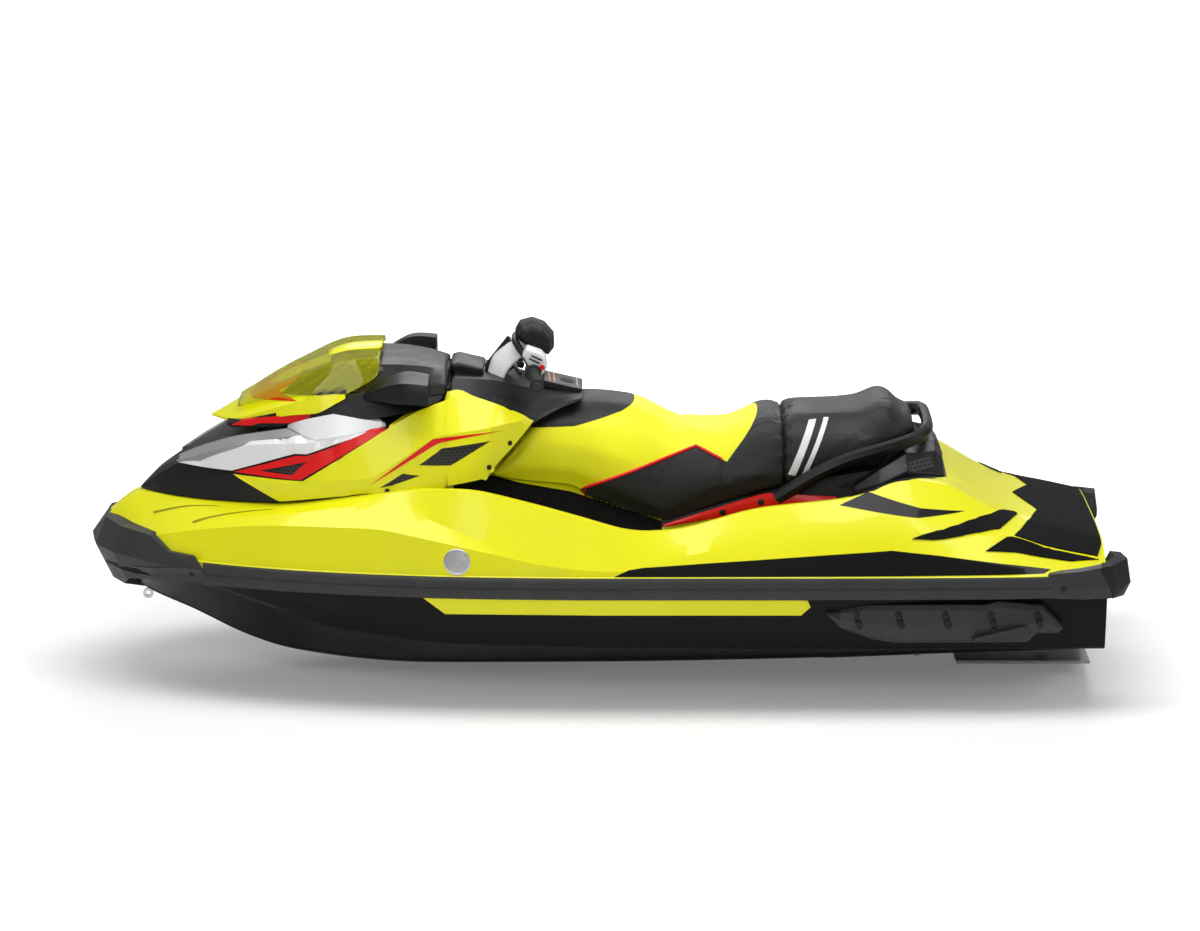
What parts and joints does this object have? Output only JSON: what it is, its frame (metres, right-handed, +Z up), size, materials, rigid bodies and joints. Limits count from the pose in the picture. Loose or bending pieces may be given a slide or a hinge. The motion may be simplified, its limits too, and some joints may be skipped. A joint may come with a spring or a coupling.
{
  "type": "personal watercraft",
  "caption": "Sit-down personal watercraft with a V hull, two-up saddle seat, leaning handlebar, hinged hood and steerable jet pump.",
  "frame": {"origin": "on the centreline amidships at the still waterline, 250 mm above the keel", "axes": "+X to the bow, +Y to port, +Z up"},
  "size_m": [3.313, 1.225, 1.1582],
  "materials": {
    "yellow_gelcoat": "glossy yellow gelcoat",
    "hull_black": "satin black gelcoat",
    "bumper_grey": "moulded dark grey bumper",
    "black_cover": "satin black moulded plastic",
    "silver_panel": "white silver paint",
    "red_panel": "glossy red paint",
    "visor_tint": "tinted clear plastic",
    "mirror_glass": "mirror",
    "driver_vinyl": "yellow and black marine vinyl",
    "passenger_vinyl": "black marine vinyl",
    "white_cover": "white painted plastic",
    "rubber_black": "black rubber",
    "cast_alloy": "cast aluminium",
    "stainless": "stainless steel",
    "engine_alloy": "cast engine block"
  },
  "bodies": {
    "craft": {"hull": "hull_black", "deck": "yellow_gelcoat", "gunwale_port": "yellow_gelcoat", "gunwale_starboard": "yellow_gelcoat", "front_bumper": "bumper_grey", "rub_rail_port": "bumper_grey", "rub_rail_starboard": "bumper_grey", "corner_bumper_port": "bumper_grey", "corner_bumper_starboard": "bumper_grey", "sponson_port": "bumper_grey", "sponson_starboard": "bumper_grey", "front_cowl": "black_cover", "console": "black_cover", "side_cowl_port": "yellow_gelcoat", "side_cowl_starboard": "yellow_gelcoat", "nose_insert_port": "silver_panel", "nose_insert_starboard": "silver_panel", "vent_surround_port": "red_panel", "vent_surround_starboard": "red_panel", "gauge": "black_cover", "hip_trim_port": "red_panel", "hip_trim_starboard": "red_panel", "grab_handle": "black_cover", "rear_cowl": "black_cover", "bow_eye": "stainless", "tow_eye": "stainless", "stern_eyes": "stainless", "engine_block": "engine_alloy", "ride_plate": "cast_alloy", "intake_grate": "cast_alloy", "pump_housing": "cast_alloy", "pump_brackets": "cast_alloy"},
    "hood_assembly": {"hood": "black_cover", "nose_beak": "yellow_gelcoat", "visor": "visor_tint", "mirror_port": "black_cover", "mirror_starboard": "black_cover", "mirror_glasses": "mirror_glass"},
    "steering": {"steering_column": "black_cover", "handlebar": "black_cover", "grips": "rubber_black", "switch_housings": "white_cover", "levers": "black_cover", "steering_cover": "white_cover", "bar_pad": "rubber_black"},
    "glovebox": {"glovebox_lid": "black_cover"},
    "front_seat": {"driver_seat": "driver_vinyl"},
    "rear_seat": {"passenger_seat": "passenger_vinyl"},
    "impeller": {"impeller": "stainless"},
    "trim": {"trim_ring": "cast_alloy"},
    "nozzle": {"steering_nozzle": "cast_alloy"},
    "gate": {"reverse_gate": "black_cover"}
  },
  "joints": [
    {"name": "hood_hinge", "type": "hinge", "parent": "craft", "child": "hood_assembly", "pos_m": [1.264, 0, 0.574], "axis": [0, 1, 0], "range_deg": [0, 50]},
    {"name": "steering_turn", "type": "hinge", "parent": "craft", "child": "steering", "pos_m": [0.352, 0, 0.742], "axis": [-0.6157, 0, 0.788], "range_deg": [-22, 22]},
    {"name": "glovebox_hinge", "type": "hinge", "parent": "craft", "child": "glovebox", "pos_m": [0.194, 0, 0.714], "axis": [0, 1, 0], "range_deg": [0, 45]},
    {"name": "rear_seat_lift", "type": "slide", "parent": "craft", "child": "rear_seat", "axis": [-0.5, 0, 0.866], "range_m": [0, 0.45]},
    {"name": "front_seat_lift", "type": "slide", "parent": "craft", "child": "front_seat", "axis": [-0.9659, 0, 0.2588], "range_m": [0, 0.2025]},
    {"name": "impeller_spin", "type": "hinge", "parent": "craft", "child": "impeller", "pos_m": [-1.2, 0, -0.098], "axis": [1, 0, 0], "continuous": true},
    {"name": "trim_tilt", "type": "hinge", "parent": "craft", "child": "trim", "pos_m": [-1.44, 0, -0.098], "axis": [0, 1, 0], "range_deg": [-8, 8]},
    {"name": "nozzle_turn", "type": "hinge", "parent": "trim", "child": "nozzle", "pos_m": [-1.44, 0, -0.098], "axis": [0, 0, 1], "range_deg": [-18, 18]},
    {"name": "gate_swing", "type": "hinge", "parent": "craft", "child": "gate", "pos_m": [-1.462, 0, -0.098], "axis": [0, -1, 0], "range_deg": [0, 62]}
  ],
  "couplings": [
    {"joint": "nozzle_turn", "follows": "steering_turn", "ratio": -0.8},
    {"joint": "front_seat_lift", "follows": "rear_seat_lift", "ratio": 0.45}
  ]
}
